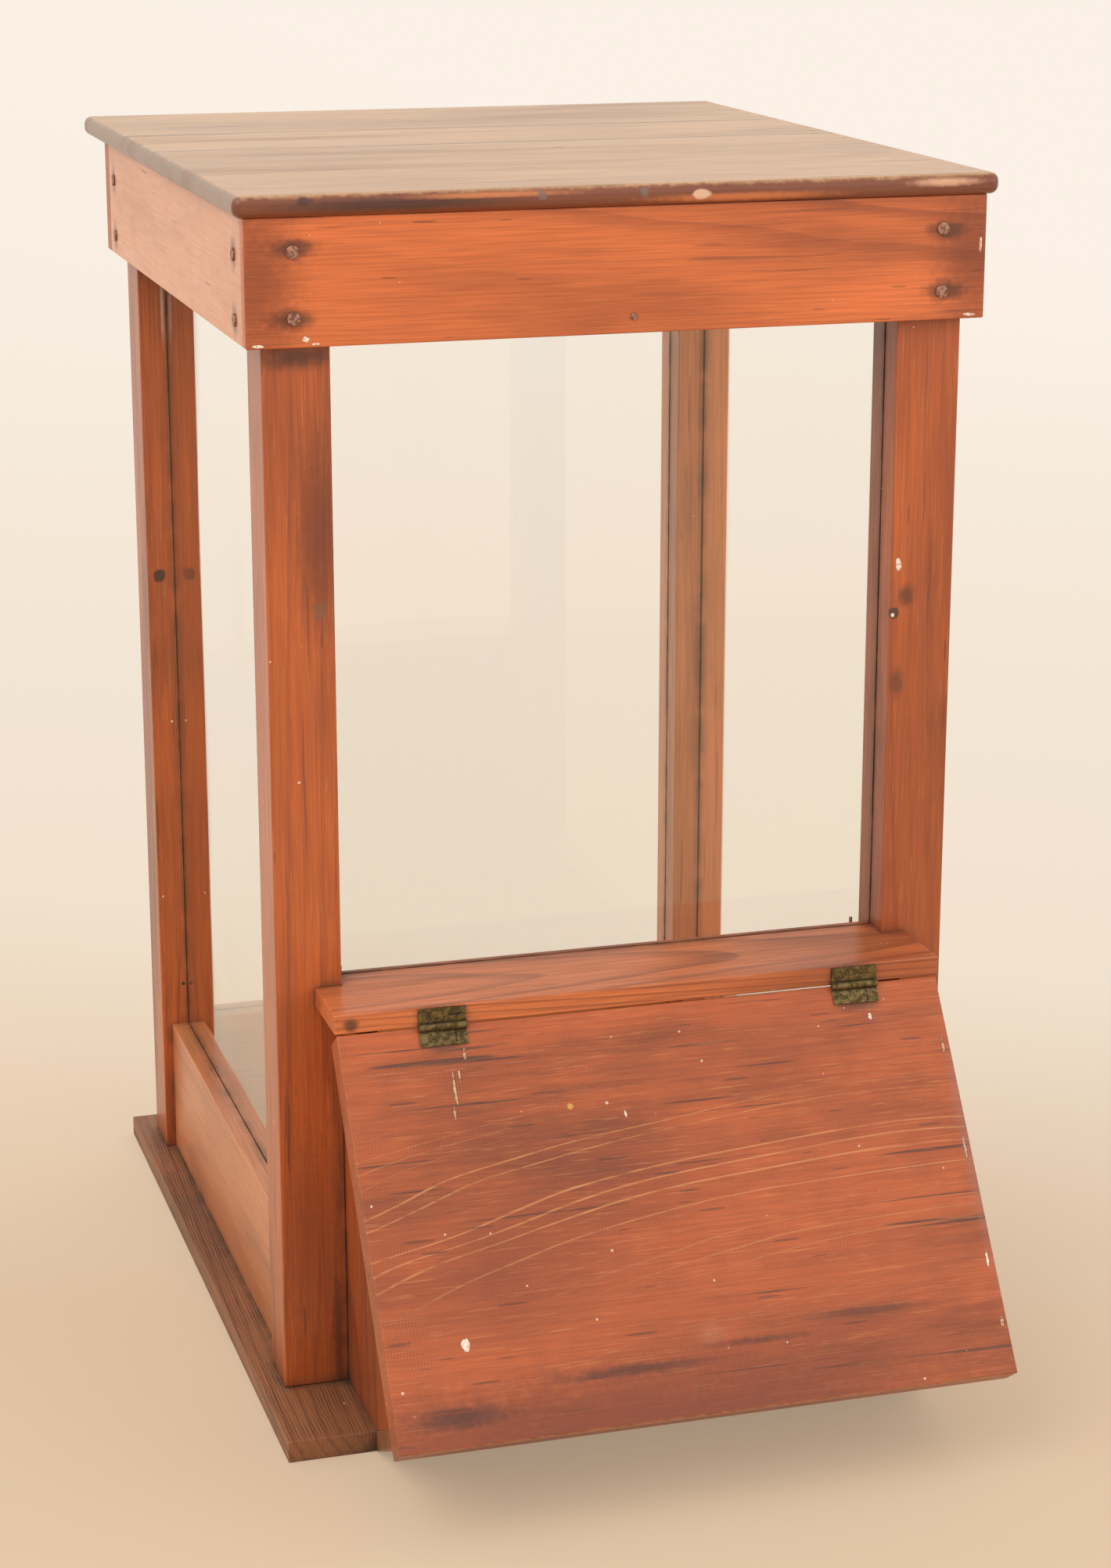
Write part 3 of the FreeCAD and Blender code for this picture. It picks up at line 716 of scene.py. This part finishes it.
class CASE_OT_panes(bpy.types.Operator):
    """Finishes the four panes of old glass"""

    bl_idname = "case.panes"
    bl_label = "Panes"

    def execute(self, context):
        finish = context.scene.hardware_finish
        material = bpy.data.materials.new("old_glass")
        material.use_nodes = True
        web = Web(material.node_tree)
        shader = material.node_tree.nodes["Principled BSDF"]
        shader.inputs["Base Color"].default_value = rgba(finish.pane)
        shader.inputs["Transmission Weight"].default_value = 1.0
        shader.inputs["Roughness"].default_value = 0.0
        shader.inputs["IOR"].default_value = 1.5
        place = web.add("ShaderNodeTexCoord").outputs["Object"]
        waves = web.noise(place, 7.0, 1.0).outputs["Fac"]
        normal = web.add("ShaderNodeBump", None, Strength=0.12, Distance=0.002, Height=waves)
        web.feed(shader, "Normal", normal.outputs["Normal"])
        clear = web.add("ShaderNodeBsdfTransparent", None, Color=(0.95, 0.955, 0.935, 1.0))
        path = web.add("ShaderNodeLightPath").outputs["Is Shadow Ray"]
        both = web.add("ShaderNodeMixShader", None, i0=path, i1=shader.outputs["BSDF"],
                       i2=clear.outputs["BSDF"])
        output = material.node_tree.nodes["Material Output"]
        web.feed(output, "Surface", both.outputs["Shader"])
        for node in ("glass_left", "glass_right", "glass_back", "glass_front"):
            paint(node, material)
        return {"FINISHED"}


def flake(name, centre, out, along, size, body, material, seed):
    """Irregular scab on a face: ragged rim, raised middle; size is length, width, height."""
    chance = random.Random(seed)
    out, along = Vector(out).normalized(), Vector(along).normalized()
    across = out.cross(along)
    middle = Vector(centre) * MM
    length, width, height = (v * MM for v in size)
    ragged = [chance.uniform(0.70, 1.15) for step in range(FLAKE_STEPS)]
    build = bmesh.new()
    rings = []
    for reach, rise in ((1.0, -0.04), (0.94, 0.55), (0.62, 1.0)):
        ring = []
        for step, bulge in enumerate(ragged):
            angle = math.tau * step / FLAKE_STEPS
            side = along * (math.cos(angle) * length / 2) + across * (math.sin(angle) * width / 2)
            lift = height * rise * (chance.uniform(0.75, 1.1) if rise > 0 else 1.0)
            ring.append(build.verts.new(middle + side * reach * bulge + out * lift))
        rings.append(ring)
    for low, high in zip(rings, rings[1:]):
        for step in range(FLAKE_STEPS):
            after = (step + 1) % FLAKE_STEPS
            build.faces.new((low[step], low[after], high[after], high[step]))
    top = build.verts.new(middle + out * height * 0.9)
    for step in range(FLAKE_STEPS):
        build.faces.new((rings[-1][step], rings[-1][(step + 1) % FLAKE_STEPS], top))
    build.faces.new(list(reversed(rings[0])))
    mesh = bpy.data.meshes.new(name)
    build.to_mesh(mesh)
    build.free()
    mesh.shade_smooth()
    mesh.materials.append(material)
    piece = bpy.data.objects.new(name, mesh)
    bpy.context.scene.collection.objects.link(piece)
    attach(piece, body)
    return piece


def crust_material(name, pale, dark):
    """Dried paint or wax, blotched pale and dark"""
    material = bpy.data.materials.new(name)
    material.use_nodes = True
    web = Web(material.node_tree)
    shader = material.node_tree.nodes["Principled BSDF"]
    place = web.add("ShaderNodeTexCoord").outputs["Object"]
    blotch = web.noise(place, 700.0, 3.0).outputs["Fac"]
    web.feed(shader, "Base Color", web.mix(web.ramp(blotch, 0.45, 0.65), rgba(pale), rgba(dark)))
    web.feed(shader, "Roughness", web.sum("MULTIPLY_ADD", blotch, 0.3, 0.3))
    normal = web.add("ShaderNodeBump", None, Strength=0.6, Distance=0.0004, Height=blotch)
    web.feed(shader, "Normal", normal.outputs["Normal"])
    return material


def on_lid(x, height):
    """Point of the lid's outer face at a height above the table, in mm."""
    return (x, LID_TOP[0] - (LID_TOP[1] - height) * math.tan(LID_SLOPE), height)


class CASE_OT_flakes(bpy.types.Operator):
    """Adds the flakes of old paint and the wax drips"""

    bl_idname = "case.flakes"
    bl_label = "Flakes and drips"

    def execute(self, context):
        paint_chip = crust_material("old_paint", tone(238, 222, 204), tone(196, 160, 132))
        wax = crust_material("old_wax", tone(206, 172, 140), tone(140, 92, 62))
        out = (0.0, -math.cos(LID_SLOPE), math.sin(LID_SLOPE))
        down = (0.0, -math.sin(LID_SLOPE), -math.cos(LID_SLOPE))
        for seed, (x, height, length, width, rise, material) in enumerate((
                (-122.8, 92.9, 7.0, 5.0, 0.35, paint_chip),
                (-107.5, 199.0, 20.0, 1.6, 0.6, wax), (-104.0, 205.0, 8.0, 1.3, 0.6, wax),
                (-109.5, 189.0, 9.0, 1.1, 0.5, wax), (-99.5, 213.5, 7.0, 2.0, 0.5, wax),
                (-20.0, 181.0, 4.0, 1.3, 0.4, paint_chip), (123.0, 212.0, 4.0, 2.4, 0.5, paint_chip),
                (160.5, 196.0, 10.0, 1.6, 0.5, wax), (161.0, 150.0, 14.0, 1.5, 0.5, wax),
                (160.5, 101.0, 9.0, 1.6, 0.5, paint_chip), (161.5, 74.0, 6.0, 2.0, 0.5, wax))):
            flake("lid_flake_%d" % seed, on_lid(x, height), out, down, (length, width, rise),
                  "lid", material, seed)
        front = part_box("frieze_front")[0][1] / MM
        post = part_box("post_front_right")[0][1] / MM
        for seed, (x, y, z, length, width) in enumerate((
                (-165, front, 578, 4, 3), (-189, front, 575.5, 7, 1.6), (187, front, 576, 8, 2),
                (192, front, 612, 9, 1.6), (155, post, 443, 9, 3.4), (-160, front, 575.6, 5, 1.5))):
            flake("case_flake_%d" % seed, (x, y, z), (0, -1, 0), (0, 0, 1) if length > 8 else
                  (1, 0, 0), (length, width, 0.3), "case", paint_chip, 40 + seed)
        return {"FINISHED"}


# Stage


def stage_profile(finish):
    """Floor from in front of the case, a quarter curve and the backdrop, as (y, z)."""
    steps = 24
    points = [(-finish.width / 2, 0.0), (finish.depth, 0.0)]
    for step in range(1, steps + 1):
        angle = math.pi / 2 * step / steps
        points.append((finish.depth + finish.sweep * math.sin(angle),
                       finish.sweep * (1 - math.cos(angle))))
    points.append((finish.depth + finish.sweep, finish.height))
    return points


# Metres behind the case's middle at which the floor reaches each of its plain colours
NEAR_RUN, MIDDLE_RUN, WALL_RUN = -0.2, 0.6, 4.5
# The floor is painted paler toward the right, a painted pool of light on that side.
PAINTED_SIDE_LIGHT = 0.3                 # the floor pales toward the right
FLOOR_GLOW = 0.45               # share of its plain colour that keeps the near floor's shadow soft


def stage_material(finish):
    material = bpy.data.materials.new("stage_paper")
    material.use_nodes = True
    web = Web(material.node_tree)
    shader = material.node_tree.nodes["Principled BSDF"]
    place = web.add("ShaderNodeTexCoord").outputs["Object"]
    turn = math.radians(CAMERA_AZIMUTH)
    run = web.vector("DOT_PRODUCT", place, (-math.sin(turn) + PAINTED_SIDE_LIGHT,
                                              math.cos(turn), 1.0))
    colour = rgba(finish.near)
    for start, end, goal in ((NEAR_RUN, MIDDLE_RUN, finish.middle),
                             (MIDDLE_RUN, WALL_RUN, finish.wall)):
        share = web.add("ShaderNodeMapRange", None, Value=run, From_Min=start,
                        From_Max=end).outputs["Result"]
        colour = web.mix(share, colour, rgba(goal))
    web.feed(shader, "Base Color", colour)
    shader.inputs["Roughness"].default_value = 0.9
    shader.inputs["Specular IOR Level"].default_value = 0.0
    glow = web.add("ShaderNodeEmission", None, Color=colour, Strength=1.0)
    path = web.add("ShaderNodeLightPath").outputs
    seen = web.sum("MAXIMUM", path["Is Camera Ray"], path["Is Glossy Ray"])
    seen = web.sum("MAXIMUM", seen, path["Is Transmission Ray"])
    far = web.ramp(run, 0.12, 0.65, FLOOR_GLOW)
    both = web.add("ShaderNodeMixShader", None, i0=web.sum("MULTIPLY", seen, far),
                   i1=shader.outputs["BSDF"], i2=glow.outputs["Emission"])
    web.feed(material.node_tree.nodes["Material Output"], "Surface", both.outputs["Shader"])
    return material


def add_stage(finish):
    mesh = bpy.data.meshes.new("stage_sweep")
    build = bmesh.new()
    half = finish.width / 2
    rows = [[build.verts.new((x, y, z)) for x in (-half, half)] for y, z in stage_profile(finish)]
    for near, far in zip(rows, rows[1:]):
        build.faces.new((near[0], near[1], far[1], far[0]))
    build.to_mesh(mesh)
    build.free()
    mesh.shade_smooth()
    sweep = bpy.data.objects.new("stage_sweep", mesh)
    bpy.context.scene.collection.objects.link(sweep)
    mesh.materials.append(stage_material(finish))


def aimed(obj, place, target):
    obj.location = place
    obj.rotation_euler = (Vector(target) - Vector(place)).to_track_quat("-Z", "Y").to_euler()
    bpy.context.scene.collection.objects.link(obj)


def add_lamp(name, place, target, size, power, colour):
    lamp = bpy.data.lights.new(name, "AREA")
    lamp.shape = "DISK"
    lamp.size = size
    lamp.energy = power
    lamp.color = colour
    aimed(bpy.data.objects.new(name, lamp), place, target)


def add_camera():
    camera = bpy.data.cameras.new("camera")
    camera.sensor_fit = "VERTICAL"
    camera.sensor_height = SENSOR_HEIGHT
    camera.lens = FOCAL_PIXELS * SENSOR_HEIGHT / IMAGE_HEIGHT
    turn, rise = math.radians(CAMERA_AZIMUTH), math.radians(CAMERA_ELEVATION)
    away = Vector((math.sin(turn) * math.cos(rise), -math.cos(turn) * math.cos(rise),
                   math.sin(rise)))
    place = Vector(CAMERA_TARGET) + away * CAMERA_DISTANCE
    obj = bpy.data.objects.new("camera", camera)
    aimed(obj, place, CAMERA_TARGET)
    bpy.context.scene.camera = obj


class CASE_OT_stage(bpy.types.Operator):
    """Sets the plain floor and backdrop, the soft lamps and the camera"""

    bl_idname = "case.stage"
    bl_label = "Stage"

    def execute(self, context):
        scene = context.scene
        scene.view_settings.view_transform = "Standard"
        world = bpy.data.worlds.new("soft_room")
        world.use_nodes = True
        web = Web(world.node_tree)
        background = world.node_tree.nodes["Background"]
        background.inputs["Color"].default_value = (1.0, 0.965, 0.92, 1.0)
        glossy = web.add("ShaderNodeLightPath").outputs["Is Glossy Ray"]
        web.feed(background, "Strength", web.sum("MULTIPLY_ADD", glossy, 0.05, 0.95))
        scene.world = world
        add_stage(scene.stage_finish)
        middle = (0.0, 0.0, 0.3)
        add_lamp("lamp_key", (-1.6, -1.1, 2.2), middle, 2.2, 26.0, (1.0, 0.97, 0.93))
        add_lamp("lamp_fill", (1.9, -1.9, 1.0), middle, 1.6, 10.0, (1.0, 0.96, 0.92))
        add_camera()
        return {"FINISHED"}


class CASE_PT_panel(bpy.types.Panel):
    """Lists the display case's finishes and the steps that apply them"""

    bl_label = "Display Case"
    bl_idname = "CASE_PT_panel"
    bl_space_type = "VIEW_3D"
    bl_region_type = "UI"
    bl_category = "Display Case"

    def draw(self, context):
        layout = self.layout
        for group in (context.scene.case_finish, context.scene.hardware_finish,
                      context.scene.stage_finish):
            box = layout.box()
            for name in group.bl_rna.properties.keys():
                if name not in ("rna_type", "name"):
                    box.prop(group, name)
        for operator in OPERATORS:
            layout.operator(operator.bl_idname)


OPERATORS = (CASE_OT_stage, CASE_OT_base, CASE_OT_posts, CASE_OT_rails, CASE_OT_frieze,
             CASE_OT_top, CASE_OT_shelf, CASE_OT_bin, CASE_OT_lid, CASE_OT_hinges,
             CASE_OT_nails, CASE_OT_panes, CASE_OT_flakes)
GROUPS_OF_PROPS = (CaseFinish, HardwareFinish, StageFinish)


def register():
    for cls in GROUPS_OF_PROPS + OPERATORS + (CASE_PT_panel,):
        bpy.utils.register_class(cls)
    scene = bpy.types.Scene
    scene.case_finish = bpy.props.PointerProperty(type=CaseFinish)
    scene.hardware_finish = bpy.props.PointerProperty(type=HardwareFinish)
    scene.stage_finish = bpy.props.PointerProperty(type=StageFinish)


def unregister():
    scene = bpy.types.Scene
    del scene.case_finish, scene.hardware_finish, scene.stage_finish
    for cls in reversed(GROUPS_OF_PROPS + OPERATORS + (CASE_PT_panel,)):
        bpy.utils.unregister_class(cls)


def main():
    register()
    for operator in OPERATORS:
        area, name = operator.bl_idname.split(".")
        getattr(getattr(bpy.ops, area), name)()


if __name__ == "__main__":
    main()
